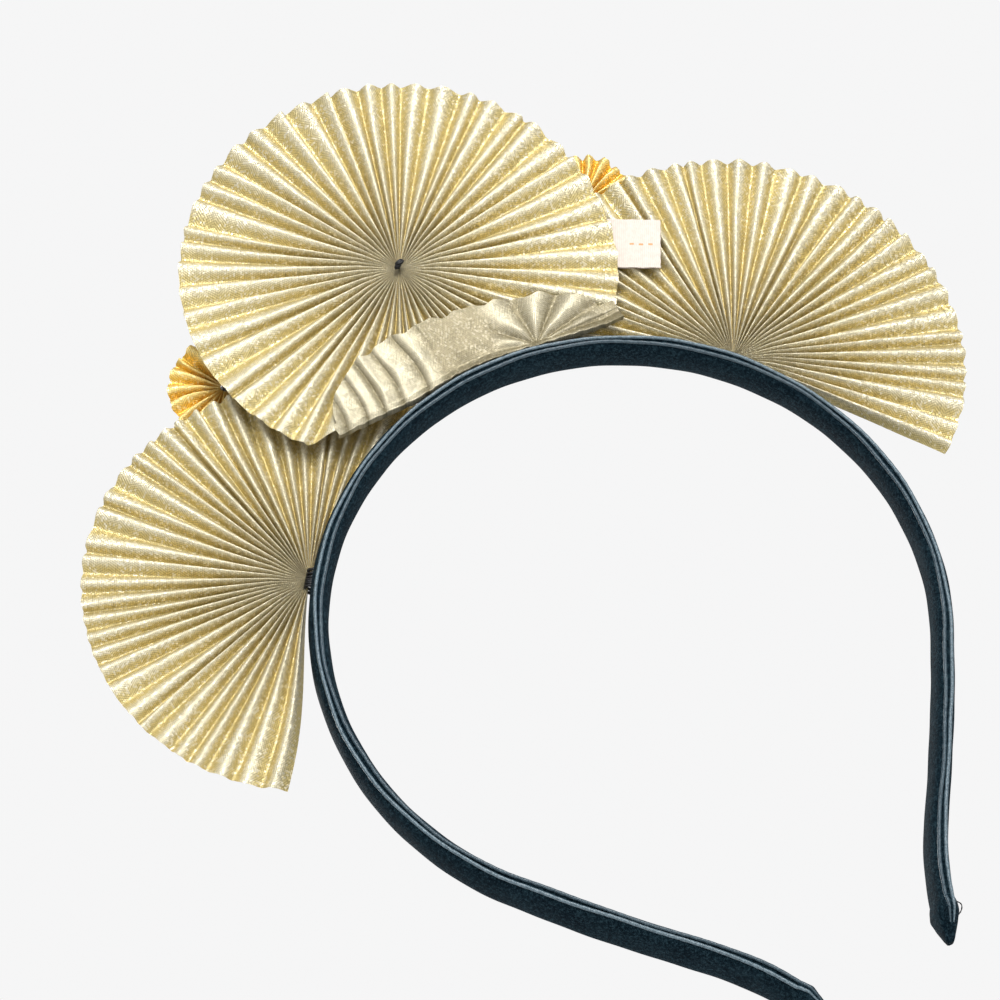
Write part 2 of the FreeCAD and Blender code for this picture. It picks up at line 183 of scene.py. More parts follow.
# ---------------------------------------------------------------- materials
CHEVRON = 0.0046  # width of a zigzag in the twill, metres of flat cloth
RIB = 0.00046  # pitch of the twill lines
PICK = 0.00036  # pitch of the weft
YARN = 0.0004  # width of a metal yarn


class Finish:
    """A material and short ways to add nodes to it."""

    def __init__(self, name):
        self.material = bpy.data.materials.new(name)
        self.material.use_nodes = True
        self.tree = self.material.node_tree
        self.shader = self.tree.nodes["Principled BSDF"]

    def node(self, kind, inputs=None, **settings):
        node = self.tree.nodes.new("ShaderNode" + kind)
        for key, value in settings.items():
            setattr(node, key, value)
        for key, value in (inputs or {}).items():
            self.give(node, key, value)
        return node

    def give(self, node, key, value):
        if isinstance(value, bpy.types.NodeSocket):
            self.tree.links.new(value, node.inputs[key])
        else:
            node.inputs[key].default_value = value

    def math(self, operation, a, b=0.0, clamp=False):
        return self.node("Math", {0: a, 1: b}, operation=operation, use_clamp=clamp).outputs[0]

    def noise(self, place, scale, detail=2.0, roughness=0.5):
        return self.node(
            "TexNoise", {"Vector": place, "Scale": scale, "Detail": detail, "Roughness": roughness}
        ).outputs["Fac"]

    def ramp(self, factor, low, high, low_colour=(0, 0, 0, 1), high_colour=(1, 1, 1, 1)):
        node = self.node("ValToRGB", {"Fac": factor})
        first, last = node.color_ramp.elements
        first.position, last.position = low, high
        first.color, last.color = low_colour, high_colour
        return node.outputs["Color"]

    def mix(self, factor, a, b):
        node = self.node("Mix", data_type="RGBA")
        self.give(node, 0, factor)
        self.give(node, 6, a)
        self.give(node, 7, b)
        return node.outputs[2]

    def bump(self, height, distance, strength=1.0, under=None):
        node = self.node("Bump", {"Height": height, "Distance": distance, "Strength": strength})
        if under is not None:
            self.give(node, "Normal", under)
        return node.outputs["Normal"]

    def shade(self, **sockets):
        for key, value in sockets.items():
            self.give(self.shader, key.replace("_", " "), value)
        return self.material


def lame(name, valley, ridge, glint, metallic, facets=0.42):
    """Pleated cloth woven with metal yarn. 'cut' is the place on the flat cloth in metres. 'ridge' is painted
    light: it blends from the valley colour, painted shade, to the ridge colour, painted reflection."""
    f = Finish(name)
    flat = f.node("UVMap", uv_map="cut").outputs["UV"]
    split = f.node("SeparateXYZ", {"Vector": flat})
    u, v = split.outputs["X"], split.outputs["Y"]
    height = f.node("Attribute", attribute_name="ridge").outputs["Fac"]
    chevron = f.math("ABSOLUTE", f.math("SUBTRACT", f.math("FRACT", f.math("MULTIPLY", v, 1 / CHEVRON)), 0.5))
    slant = f.math("ADD", f.math("MULTIPLY", u, TAU / RIB), f.math("MULTIPLY", chevron, 38.0))
    twill = f.math("SINE", slant)
    weft = f.math("SINE", f.math("MULTIPLY", v, TAU / PICK))
    yarn = f.math("ADD", f.math("MULTIPLY", twill, 0.3), f.math("MULTIPLY", weft, 0.2))
    row = f.math("FLOOR", f.math("MULTIPLY", v, 1 / PICK))
    column = f.math("FLOOR", f.math("ADD", f.math("MULTIPLY", u, 1 / YARN), f.math("MULTIPLY", row, 0.5)))
    cell = f.node("CombineXYZ", {"X": column, "Y": row}).outputs[0]
    random = f.node("TexWhiteNoise", {"Vector": cell}, noise_dimensions="2D").outputs["Color"]
    chance = f.node("SeparateXYZ", {"Vector": random})
    patches = f.noise(flat, 110.0, 3.0, 0.6)
    # Painted light and shade: the pleat valleys are painted darker and yellower and the ridges paler, with
    # random patches on top.
    painted_light_and_patches = f.math("ADD", height, f.math("MULTIPLY", f.math("SUBTRACT", patches, 0.5), 0.22))
    tone = f.mix(f.ramp(painted_light_and_patches, 0.2, 0.8), (*valley, 1), (*ridge, 1))
    shade = f.math("ADD", 0.84, f.math("MULTIPLY", chance.outputs["X"], 0.32))
    shade = f.math("MULTIPLY", shade, f.math("ADD", 0.9, f.math("MULTIPLY", yarn, 0.5)))
    tone = f.node("VectorMath", {0: tone, "Scale": shade}, operation="SCALE").outputs[0]
    # Painted glints: on random yarn cells the colour is lifted toward the glint colour, and the cloth there
    # is a little smoother.
    spark = f.math("MULTIPLY", f.math("GREATER_THAN", chance.outputs["Y"], 0.84), f.ramp(patches, 0.1, 0.8))
    tone = f.mix(f.math("MULTIPLY", spark, 0.45), tone, (*glint, 1))
    rough = f.math("ADD", 0.35, f.math("MULTIPLY", height, 0.03))
    rough = f.math("SUBTRACT", rough, f.math("MULTIPLY", spark, 0.1))
    fine = f.bump(yarn, 0.00005, 0.8, f.bump(f.noise(flat, 300.0, 2.0), 0.00004))
    facet = f.node("VectorMath", {0: random, 1: (-0.5, -0.5, -0.5)}, operation="ADD").outputs[0]
    facet = f.node("VectorMath", {0: facet, "Scale": facets}, operation="SCALE").outputs[0]
    normal = f.node("VectorMath", {0: fine, 1: facet}, operation="ADD").outputs[0]
    normal = f.node("VectorMath", {0: normal}, operation="NORMALIZE").outputs[0]
    around = f.node("Tangent", direction_type="UV_MAP", uv_map="cut").outputs[0]
    return f.shade(
        Base_Color=tone, Roughness=rough, Metallic=metallic, Anisotropic=0.75, Normal=normal, Tangent=around
    )


def velvet():
    f = Finish("velvet")
    at = f.node("TexCoord").outputs["Object"]
    brushed = f.noise(at, 170.0, 4.0, 0.6)
    pile = f.noise(at, 3600.0, 3.0, 0.75)
    tone = f.mix(f.ramp(brushed, 0.35, 0.68), (0.0025, 0.009, 0.015, 1), (0.006, 0.0175, 0.026, 1))
    tufts = f.noise(at, 1500.0, 2.0, 0.6)
    grain = f.math("ADD", f.math("MULTIPLY", pile, 0.6), f.math("MULTIPLY", tufts, 0.4))
    tone = f.mix(f.ramp(grain, 0.5, 0.6), tone, (0.022, 0.046, 0.06, 1))
    tone = f.mix(f.ramp(grain, 0.4, 0.48, (1, 1, 1, 1), (0, 0, 0, 1)), tone, (0.001, 0.005, 0.009, 1))
    normal = f.bump(grain, 0.0005, 1.0, f.bump(brushed, 0.0008, 0.6))
    f.shader.inputs["Sheen Tint"].default_value = (0.45, 0.62, 0.7, 1)
    return f.shade(
        Base_Color=tone, Roughness=0.8, Sheen_Weight=0.035, Sheen_Roughness=0.3,
        Specular_IOR_Level=0.04, Normal=normal,
    )


def satin(name, dark, light, specular):
    f = Finish(name)
    at = f.node("TexCoord").outputs["Object"]
    streaks = f.noise(at, 2600.0, 3.0, 0.7)
    tone = f.mix(f.ramp(streaks, 0.35, 0.7), (*dark, 1), (*light, 1))
    return f.shade(
        Base_Color=tone, Roughness=0.3, Specular_IOR_Level=specular, Normal=f.bump(streaks, 0.00008),
    )


def thread(name, dark, light, roughness):
    f = Finish(name)
    at = f.node("TexCoord").outputs["Object"]
    fibres = f.noise(at, 9000.0, 2.0, 0.7)
    tone = f.mix(f.ramp(fibres, 0.35, 0.7), (*dark, 1), (*light, 1))
    return f.shade(
        Base_Color=tone, Roughness=roughness, Specular_IOR_Level=0.4, Normal=f.bump(fibres, 0.00005)
    )


def moulded_strip():
    f = Finish("spring_strip")
    scuffs = f.noise(f.node("TexCoord").outputs["Object"], 3000.0, 3.0)
    tone = f.mix(scuffs, (0.012, 0.012, 0.015, 1), (0.035, 0.035, 0.04, 1))
    return f.shade(Base_Color=tone, Roughness=0.5, Normal=f.bump(scuffs, 0.00002))


def cotton_tape(sewn, length):
    """Twill tape with fine ribs across and a row of plain woven dashes on the part beyond the sewn end."""
    f = Finish("cotton_tape")
    flat = f.node("UVMap", uv_map="cut").outputs["UV"]
    split = f.node("SeparateXYZ", {"Vector": flat})
    u, v = f.math("SUBTRACT", split.outputs["X"], sewn), split.outputs["Y"]
    ribs = f.math("SINE", f.math("MULTIPLY", u, TAU / 0.00042))
    slant = f.math("ADD", f.math("MULTIPLY", v, TAU / 0.0003), f.math("MULTIPLY", u, TAU / 0.0009))
    picks = f.math("SINE", slant)
    woven = f.math("ADD", f.math("MULTIPLY", ribs, 0.5), f.math("MULTIPLY", picks, 0.25))
    lint = f.noise(flat, 900.0, 3.0, 0.6)
    tone = f.mix(f.ramp(lint, 0.3, 0.75), (0.72, 0.63, 0.55, 1), (0.83, 0.75, 0.67, 1))
    hollows = f.math("MULTIPLY", f.math("SUBTRACT", 0.5, woven), 0.35, clamp=True)
    tone = f.mix(hollows, tone, (0.6, 0.5, 0.42, 1))
    row = f.math("LESS_THAN", f.math("ABSOLUTE", f.math("SUBTRACT", v, 0.0002)), 0.00022)
    dash = f.math("GREATER_THAN", f.math("SINE", f.math("MULTIPLY", u, TAU / 0.0019)), 0.1)
    inside = f.math("LESS_THAN", f.math("ABSOLUTE", f.math("SUBTRACT", u, length * 0.55)), length * 0.36)
    mark = f.math("MULTIPLY", f.math("MULTIPLY", row, dash), inside)
    tone = f.mix(f.math("MULTIPLY", mark, 0.8), tone, (0.8, 0.28, 0.07, 1))
    return f.shade(Base_Color=tone, Roughness=0.8, Sheen_Weight=0.2, Normal=f.bump(woven, 0.00005))


PALE = lame("pale_gold_lame", (0.58, 0.47, 0.2), (0.7, 0.63, 0.435), (1.0, 0.97, 0.88), 0.55, 0.36)
# A darker copy of the pale lamé for the turned hem, which faces the lamps more squarely: painted shade. It is
# also less metallic, with weaker facets and dimmer glints.
PALE_SHADED = lame(
    "pale_gold_lame_painted_shade", (0.26, 0.22, 0.125), (0.6, 0.54, 0.38), (0.58, 0.53, 0.4), 0.4, 0.16
)
BRIGHT = lame("bright_gold_lame", (0.8, 0.5, 0.08), (0.96, 0.72, 0.26), (1.0, 0.93, 0.62), 0.65)
VELVET = velvet()
SATIN_OUTER = satin("satin_selvedge", (0.035, 0.065, 0.085), (0.17, 0.24, 0.28), 0.6)
# A darker copy of the selvedge satin for the inner selvedge: painted shade.
SATIN_SHADED = satin("satin_selvedge_painted_shade", (0.012, 0.028, 0.042), (0.075, 0.12, 0.145), 0.45)
DARK = thread("dark_thread", (0.002, 0.002, 0.003), (0.012, 0.012, 0.014), 0.32)
STRIP = moulded_strip()


# ---------------------------------------------------------------- pleated cloth
def pleat_height(phase, part):
    """Height of a pleat, 0 in the valley to 1 on the ridge. part is the distance from the hub as a share of
    the radius: pleats are full near the hub and slacker at the rim."""
    return (0.5 - 0.5 * np.cos(TAU * phase)) ** (0.55 + 0.2 * part)


def fan(name, hub, y_range, inner, outer, start, span, count, seed, limit=None,
        samples=14, rows=56, wobble=1.0, rim_depth=0.68, fray=0.1, hidden=None, bow=(0, 0)):
    """A strip of pleated cloth gathered at hub (x, z), spread from start over span degrees, ridges to +Y.
    limit(angle) is where other things stop the cloth, and inside the radius hidden it is left out. bow is how
    many degrees the first pleats swing out, halfway along and at the rim."""
    rng = np.random.default_rng(seed)
    widths = 1 + 0.3 * wobble * rng.uniform(-1, 1, count)
    edges = np.concatenate([[0], np.cumsum(widths)]) / widths.sum()
    tall = 1 - 0.34 * wobble * rng.random(count)
    if span >= 359:
        tall[-1] = tall[0]
    bend = rng.normal(0, 0.16 * wobble, count)
    shift = rng.normal(0, 0.12 * wobble, count)
    phase = np.linspace(0, 1, samples, endpoint=False)
    pleat = np.repeat(np.arange(count), samples)
    local = np.tile(phase, count)
    pleat, local = np.append(pleat, count - 1), np.append(local, 1.0)
    where = edges[pleat] + local * (edges[pleat + 1] - edges[pleat])
    angle0 = np.radians(start) + where * math.radians(span)
    reach = np.full_like(angle0, outer)
    if limit is not None:
        reach = np.minimum(reach, limit(angle0))
    edge_noise = rng.normal(0, fray * MM, len(where))
    edge_noise = np.convolve(edge_noise, np.ones(3) / 3, "same")
    t = np.linspace(0, 1, rows)[:, None] ** 0.85
    radius = inner + (reach - inner)[None, :] * t
    height = pleat_height(local[None, :], radius / outer)
    slack = 1 - (1 - tall[pleat])[None, :] * (radius / outer) ** 1.5
    radius = radius + (t**6) * (edge_noise[None, :] + 0.3 * MM * (height - 0.5)) * (reach > 0.98 * outer)
    pitch = math.radians(span) / count
    sway = (bend[pleat] * np.sin(math.pi * t) + shift[pleat] * t) * height * pitch
    swing = np.radians(bow[0]) * np.sin(math.pi * t) + np.radians(bow[1]) * t
    angle = angle0[None, :] + sway * (0.3 + 0.7 * t) - swing * np.clip(1 - where * count / 5, 0, 1)[None, :]
    low, high = y_range
    part = radius / outer
    gathered = np.clip(radius / min(8 * MM, 0.4 * outer), 0.3, 1)
    depth = (high - low) * (1 - (1 - rim_depth) * part) * gathered
    warp = 0.13 * (high - low) * np.sin(2 * angle + seed) * part**2
    y = (low + high) / 2 + depth * (height * slack - 0.5) + warp
    y = y + 0.05 * MM * np.sin(radius / (1.9 * MM) + 3.0 * pleat[None, :]) * part
    points = np.stack([hub[0] + radius * np.cos(angle), y, hub[1] + radius * np.sin(angle)], axis=-1)
    run = 2 * math.hypot(pitch * outer / 2, (high - low) * rim_depth)
    u = np.broadcast_to((pleat + local) * run, radius.shape)
    uv = np.stack([u, radius], axis=-1)
    # Painted light and shade for the lamé colour: lighter on the ridges and near the hub, darker in the
    # valleys and on slacker pleats.
    ridge_painted_light = height ** (2.4 - 0.7 * part) * (0.6 + 0.4 * slack) + 0.45 * (1 - part) ** 3
    obj = surface(name, points, uv, {"ridge": np.minimum(ridge_painted_light, 1)})
    if hidden is not None:
        trim(obj, hidden)
    return obj, (count * run, outer - inner)


def chord_limit(hub, foot, away):
    """Distance from hub to a straight fold through foot, for rays that meet it. away points to the hub."""
    gap = float(np.dot(np.array(hub) - foot, away))

    def limit(angle):
        towards = -(np.cos(angle) * away[0] + np.sin(angle) * away[1])
        return np.where(towards > 1e-3, gap / np.maximum(towards, 1e-3), 1.0)

    return limit


WIDE = corners("crown_velvet")[1][1] * 2
low, high = corners("centre_rosette")
centre_knot = middle("centre_knot")
centre_hub = (centre_knot[0], centre_knot[2])
centre_radius = high[2] - centre_hub[1]
centre_y = (low[1], high[1])
FOLD_TILT = math.radians(4.5)
up = np.array([-math.sin(FOLD_TILT), math.cos(FOLD_TILT)])
along = np.array([math.cos(FOLD_TILT), math.sin(FOLD_TILT)])
lowest = centre_hub[1] - low[2]
gap_low, gap_high = 0.0, centre_radius
for _ in range(50):
    gap = (gap_low + gap_high) / 2
    reach = gap * math.cos(FOLD_TILT) + math.sqrt(centre_radius**2 - gap**2) * math.sin(FOLD_TILT)
    gap_low, gap_high = (gap, gap_high) if reach < lowest else (gap_low, gap)
foot = np.array(centre_hub) - gap * up
half_fold = math.sqrt(centre_radius**2 - gap**2)

rosette, flat = fan(
    "centre_rosette_cloth", centre_hub, centre_y, 0.35 * MM, centre_radius, 90 - 180 / 52 + 180, 360, 52, 3,
    limit=chord_limit(centre_hub, foot, up), rows=64,
)
place(rosette, "crown", "pale_gold_lame", PALE, "centre_rosette")


HEM_TALL = 13.2 * MM
HEM_PEAK = 6 * MM  # place of the tallest point along the fold
HEM_LEFT, HEM_RIGHT = 22 * MM, 37 * MM  # from there to where the hem runs out
CREASE_PITCH = 4.6 * MM
GATHER_POINT = np.array([-15.8 * MM, -1.4 * MM])  # the creases on the right radiate from here


def hem_outline(s):
    """Height of the upper edge above the fold and drop of the lower edge below it, at s along the fold."""
    side = np.where(s > HEM_PEAK, HEM_LEFT, HEM_RIGHT)
    away = np.abs((s - HEM_PEAK) / side) ** np.where(s > HEM_PEAK, 2.1, 1.7)
    tall = HEM_TALL * np.sqrt(np.clip(1 - away, 0.002, 1))
    tall = tall * (1 + 0.03 * np.sin(s / (1.3 * MM)) + 0.02 * np.sin(s / (0.7 * MM) + 1.2))
    to_the_ends = 1.3 * MM * np.clip(np.abs(s + 2 * MM) / (13 * MM), 0, 1) ** 1.6
    right_end = 2 * MM * np.clip((-s - 14 * MM) / (16 * MM), 0, 1)
    uneven = 0.12 * MM * np.sin(s / (0.45 * MM)) * np.sin(s / (1.7 * MM))
    return tall, 1.25 * MM + to_the_ends + right_end + uneven


def hem_creases(s, h, t):
    """Height of the cloth in millimetres and how light each place is painted: lighter on the crease ridges
    and gathers, darker on the smooth patch and between the creases, which is painted light and shade.
    Slanting pressed creases on the left, a smooth patch in the middle, and creases that radiate from one
    point on the right."""
    slant = s + 0.04 * h + 0.9 * MM * np.sin(h / (4.5 * MM) + 1) + 0.7 * MM * np.sin(s / (3.1 * MM))
    left = np.clip((s - 3.0 * MM) / (3 * MM), 0, 1) * np.clip((half_fold - s) / (9 * MM), 0.35, 1)
    phase = (slant / CREASE_PITCH) % 1
    rising, falling = np.sin(phase / 0.7 * math.pi / 2), np.cos((phase - 0.7) / 0.3 * math.pi / 2)
    press = np.where(phase < 0.7, rising, falling)
    crumple = 0.5 + 0.5 * np.sin(slant / (0.62 * MM) + 2 * np.sin(s / (2.9 * MM)))
    turn = np.arctan2(h - GATHER_POINT[1], s - GATHER_POINT[0])
    far = np.hypot(s - GATHER_POINT[0], h - GATHER_POINT[1])
    right = np.clip((-8.0 * MM - s) / (4 * MM), 0, 1)
    gathers = 0.5 + 0.5 * np.cos(turn * 9.5 + 1.3 * np.sin(2 * turn) + 0.6)
    gathers = gathers**0.8 * np.clip(far / (4 * MM), 0, 1) * np.clip((s + half_fold) / (8 * MM), 0.2, 1)
    patch = 1 - np.clip(left + right, 0, 1)
    height = left * (0.85 * press + 0.22 * crumple) + 1.1 * right * gathers
    height = height + patch * (0.75 + 0.1 * np.sin(s / (1.5 * MM) + h / (2.4 * MM)) * t)
    height = height + 0.14 * np.sin(h / (1.7 * MM) + s / (2.3 * MM))
    height = height + 0.07 * np.sin(s / (0.9 * MM) - h / (1.2 * MM))
    # The second value is painted light: high on crease ridges and gathers, low as painted shade on the smooth
    # patch and between creases.
    return height, np.clip(0.15 + left * press * 0.75 + right * gathers * 0.7 + patch * 0.1, 0, 1)


def turned_hem():
    """The part of the rosette below the fold, turned up behind it."""
    columns, rows = 460, 76
    s = np.linspace(-half_fold * 0.985, half_fold * 0.83, columns)[None, :]
    t = np.linspace(0, 1, rows)[:, None]
    tall, sag = hem_outline(s)
    h = (tall + sag) * t - sag
    height, ridge = hem_creases(s, h, t)
    low = corners("centre_turned_hem")[0]
    back = low[1] + (0.2 + height * np.clip(0.3 + 2.0 * t, 0, 1)) * MM
    clear_of_band = np.maximum(back, WIDE / 2 + 0.2 * MM)
    near = np.clip(1 - (h + sag) / (2.2 * MM), 0, 1)
    back = back * (1 - near) + clear_of_band * near
    under = np.clip(1 - t / 0.05, 0, 1)
    back = back * (1 - under) + (centre_y[1] - 0.4 * MM) * under
    h = h + 0.5 * MM * under
    x = foot[0] + s * along[0] + h * up[0]
    z = foot[1] + s * along[1] + h * up[1]
    points = np.stack(np.broadcast_arrays(x, back, z), axis=-1)
    uv = np.stack(np.broadcast_arrays(s * 1.25, h), axis=-1)
    return surface("turned_hem_cloth", points, uv, {"ridge": np.broadcast_to(ridge, uv.shape[:2])})


hem = turned_hem()
# the turned hem takes the darker lamé copy, painted shade
place(hem, "crown", "pale_gold_lame", PALE_SHADED, "centre_turned_hem")

band_outer = corners("crown_velvet")[1][0] + 0.2 * MM
for word, side, start, span, count, seed, bow in (
    ("left", 1, -51.6, 209.6, 37, 7, (3.2, 1.7)),
    ("right", -1, 34.0, 205.5, 36, 11, (0, 0)),
):
    low, high = corners(f"{word}_fan")
    hub = middle(f"{word}_hub_thread")
    hub = np.array([hub[0], hub[2]])
    reach = (high[0] - hub[0]) if side > 0 else (hub[0] - low[0])
    cloth, flat = fan(
        f"{word}_fan_cloth", hub, (low[1], high[1]), 0.3 * MM, reach, start, span, count, seed,
        hidden=band_outer - 2 * MM, bow=bow,
    )
    place(cloth, "crown", "pale_gold_lame", PALE, f"{word}_fan")
    low, high = corners(f"{word}_small_rosette")
    hub = (low + high) / 2
    cloth, flat = fan(
        f"{word}_small_rosette_cloth", (hub[0], hub[2]), (low[1], high[1]), 0.9 * MM, (high[0] - low[0]) / 2,
        20, 360, 22, seed + 30, rows=30, samples=14, wobble=1.4, rim_depth=0.95, fray=0.25,
    )
    place(cloth, "crown", "bright_gold_lame", BRIGHT, f"{word}_small_rosette")


# ---------------------------------------------------------------- thread
def knot_ball(name, centre, size, turns, radius, seed):
    """Wraps of thread over a small lump."""
    rng = np.random.default_rng(seed)
    t = np.linspace(0, 1, int(turns * 26))
    lean = 0.9 * np.sin(t * turns * 1.7 + rng.random() * 6)
    around = t * turns * TAU
    ball = np.stack([np.cos(around), np.sin(around) * np.cos(lean), np.sin(around) * np.sin(lean)], axis=-1)
    ball *= (1 - 0.25 * np.sin(t * 23))[:, None] * np.array(size)
    return tube(name, np.array(centre) + ball, radius, sides=7, strands=2, depth=0.18, twist=0.9)


def whip_loops(node, name, centres, radius, thickness):
    """Small stitches that stand in the plane of the band's radius and Y."""
    loops = []
    for index, (centre, outward) in enumerate(centres):
        t = np.linspace(0, TAU, 40, endpoint=False)
        out = np.array([outward[0], 0, outward[1]])
        along_band = np.array([-outward[1], 0, outward[0]])
        path = centre + radius * (
            np.cos(t)[:, None] * out + np.sin(t)[:, None] * np.array([0, 1, 0])
            + (0.22 * np.sin(t + index))[:, None] * along_band
        )
        loop = tube(f"{name}_{index}", path, thickness, sides=8, strands=2, depth=0.2, twist=0.8, closed=True)
        loops.append(loop)
    return place(joined(name, loops), "crown", "dark_thread", DARK, node)


def on_crown(ring, angle, y):
    """A point at the radius ring from the crown's centre, and the direction away from that centre."""
    outward = (math.cos(angle), math.sin(angle))
    return np.array([ring * outward[0], y, ring * outward[1]]), outward


low, high = corners("centre_knot")
knots = [
    knot_ball("knot_a", (centre_knot[0] - 0.3 * MM, high[1] - 0.1 * MM, centre_knot[2] + 0.2 * MM),
              (0.7 * MM, 0.4 * MM, 0.4 * MM), 8, 0.19 * MM, 1),
    knot_ball("knot_b", (centre_knot[0] + 0.4 * MM, high[1] - 0.5 * MM, centre_knot[2] - 0.2 * MM),
              (0.5 * MM, 0.4 * MM, 0.4 * MM), 6, 0.18 * MM, 2),
    knot_ball("knot_c", (centre_knot[0], low[1] + 0.2 * MM, centre_knot[2]),
              (1.2 * MM, 0.5 * MM, 1.2 * MM), 8, 0.24 * MM, 3),
]
place(joined("centre_knot_thread", knots), "crown", "dark_thread", DARK, "centre_knot")

for word in ("left", "right"):
    low, high = corners(f"{word}_small_knot")
    mid = (low + high) / 2
    front_at = (mid[0], low[1] + 0.35 * MM, mid[2])
    front = knot_ball(f"{word}_front", front_at, (1.3 * MM, 0.45 * MM, 1.1 * MM), 9, 0.24 * MM, 4)
    line = np.linspace(0, 1, 30)
    stem = np.stack([
        mid[0] + 0.12 * MM * np.sin(line * 9),
        low[1] + (high[1] - low[1]) * line,
        mid[2] + 0.12 * MM * np.cos(line * 8),
    ], axis=-1)
    stem = tube(f"{word}_stem", stem, 0.55 * MM, sides=10, strands=3, depth=0.22, twist=0.5)
    knot = joined(f"{word}_small_knot_thread", [front, stem])
    place(knot, "crown", "dark_thread", DARK, f"{word}_small_knot")
    mid = middle(f"{word}_hub_thread")
    hub_angle = math.atan2(mid[2], mid[0])
    ring = math.hypot(mid[0], mid[2]) - 0.6 * MM
    centres = [on_crown(ring, hub_angle + index * 0.6 * MM / band_outer, mid[1]) for index in range(-3, 4)]
    whip_loops(f"{word}_hub_thread", f"{word}_hub_whipping", centres, 1.2 * MM, 0.3 * MM)

mid_y = middle("crown_stitches")[1] - 1.2 * MM
ring = corners("crown_velvet")[1][2] + 0.1 * MM
fold_angle = math.atan2(up[1], up[0])
centres = [on_crown(ring, fold_angle + math.radians(4.2) * index, mid_y) for index in range(-3, 4)]
whip_loops("crown_stitches", "crown_whipping", centres, 1.05 * MM, 0.26 * MM)


# ---------------------------------------------------------------- band
CROWN = pivot("left_leg_flex")[0]
THICK = (corners("crown_velvet")[1][0] - CROWN) * 2
# the arcs below the widest point: radius, turn, and 1 for a centre inside the band or -1 for one outside
LEG = [(CROWN, math.radians(34.8), 1), (380 * MM, math.radians(5.55), 1), (71.5 * MM, math.radians(15.2), -1)]
STRIP_WIDE = corners("crown_core")[1][1] * 2
STRIP_THICK = 0.35 * THICK
TWIST = math.radians(10)
TIP = 8.0 * MM
TIP_OVERLAP = 0.3 * MM
THREAD_AT = 8 / 39  # place of the loose thread, as a share of the tip's length
# half sizes of the folded tip in millimetres, at stations from the sleeve's end (0) to the point (1)
TIP_STATIONS = [0.0, 0.12, 0.31, 0.55, 0.78, 0.93, 1.0]
TIP_OUT = [2.0, 2.25, 2.4, 1.9, 1.25, 0.9, 0.55]
TIP_BACK = [4.5, 4.95, 5.1, 3.9, 2.4, 1.5, 1.0]
SLEEVE_STEP, CORD_STEP = 0.9 * MM, 0.16 * MM


def band_line(side, step):
    """Points (x, z), outward directions and lengths along half the band, from the top to a leg's end."""
    points, outs, lengths = [], [], []
    n = int(CROWN * math.pi / 2 / step)
    for i in range(n + 1):
        a = math.pi / 2 * (1 - i / n)
        points.append((CROWN * math.cos(a), CROWN * math.sin(a)))
        outs.append((math.cos(a), math.sin(a)))
        lengths.append(CROWN * (math.pi / 2 - a))
    heading = 0.0
    for radius, turn, inwards in LEG:
        start = np.array(points[-1])
        out = np.array([math.cos(heading), -math.sin(heading)])
        centre = start - out * radius * inwards
        n = max(3, int(radius * turn / step))
        base, base_length = heading, lengths[-1]
        for i in range(1, n + 1):
            heading = base + inwards * turn * i / n
            out = np.array([math.cos(heading), -math.sin(heading)])
            points.append(tuple(centre + out * radius * inwards))
            outs.append(tuple(out))
            lengths.append(base_length + radius * turn * i / n)
    points, outs = np.array(points), np.array(outs)
    points[:, 0] *= side
    outs[:, 0] *= side
    return points, outs, np.array(lengths)


def section(outs, lengths, amount):
    """The band's outward and backward directions at each station. The legs twist by amount times TWIST."""
    crown_length = CROWN * math.pi / 2
    twist = TWIST * np.clip((lengths - crown_length * 0.9) / (60 * MM), 0, 1) * amount
    out = np.stack([outs[:, 0] * np.cos(twist), np.sin(twist), outs[:, 1] * np.cos(twist)], axis=-1)
    back = np.stack([-outs[:, 0] * np.sin(twist), np.cos(twist), -outs[:, 1] * np.sin(twist)], axis=-1)
    return out, back


def half_band(side, step, amount):
    """The middle line of half the band, its outward and backward directions, and lengths along it."""
    points, outs, lengths = band_line(side, step)
    out, back = section(outs, lengths, amount)
    line = np.stack([points[:, 0], np.zeros(len(points)), points[:, 1]], axis=-1)
    return line, out, back, lengths


def leg_end(side, amount):
    """Where a leg's sleeve ends, the way it points there, and its outward and backward directions."""
    points, outs, _ = band_line(side, CORD_STEP)
    start = np.array([points[-1][0], 0, points[-1][1]])
    ahead = np.array([outs[-1][1] * side, 0, -outs[-1][0] * side])
    ahead = ahead if ahead[2] < 0 else -ahead
    out, back = section(outs[-1:], np.array([1.0]), amount)
    return start, ahead, out, back


def rounded(turn, half_out, half_back, power):
    """An outline between an ellipse (power 2) and a rectangle."""
    c, s = np.cos(turn), np.sin(turn)
    return half_out * np.sign(c) * np.abs(c) ** (2 / power), half_back * np.sign(s) * np.abs(s) ** (2 / power)


def swept(line, out, back, a, b):
    """Outlines with the coordinates a outwards and b backwards, set along a line."""
    return line[:, None, :] + a[..., None] * out[:, None, :] + b[..., None] * back[:, None, :]


def velvet_sleeve(word, side, amount):
    """The ribbon round half the band, a little rippled, with a groove where its selvedges meet."""
    sides = 44
    line, out, back, lengths = half_band(side, SLEEVE_STEP, amount)
    turn = np.arange(sides) / sides * TAU
    a, b = rounded(turn, THICK / 2, WIDE / 2, 2.35)
    ripple = 1 + 0.018 * np.sin(lengths[:, None] / (3.7 * MM) + 2 * np.sin(turn)[None, :] + side) \
        + 0.014 * np.sin(lengths[:, None] / (1.6 * MM) + 3 * turn[None, :])
    ripple = 1 + (ripple - 1) * np.clip(lengths[:, None] / (9 * MM), 0, 1)
    groove = 0.35 * MM * np.exp(-((turn - TAU / 4) / 0.16) ** 2)
    grid = swept(line, out, back, a * ripple, b * (0.5 + 0.5 * ripple) - groove)
    return cap(surface(f"{word}_velvet_sleeve", grid, wrap=True), sides, len(line), both=False)


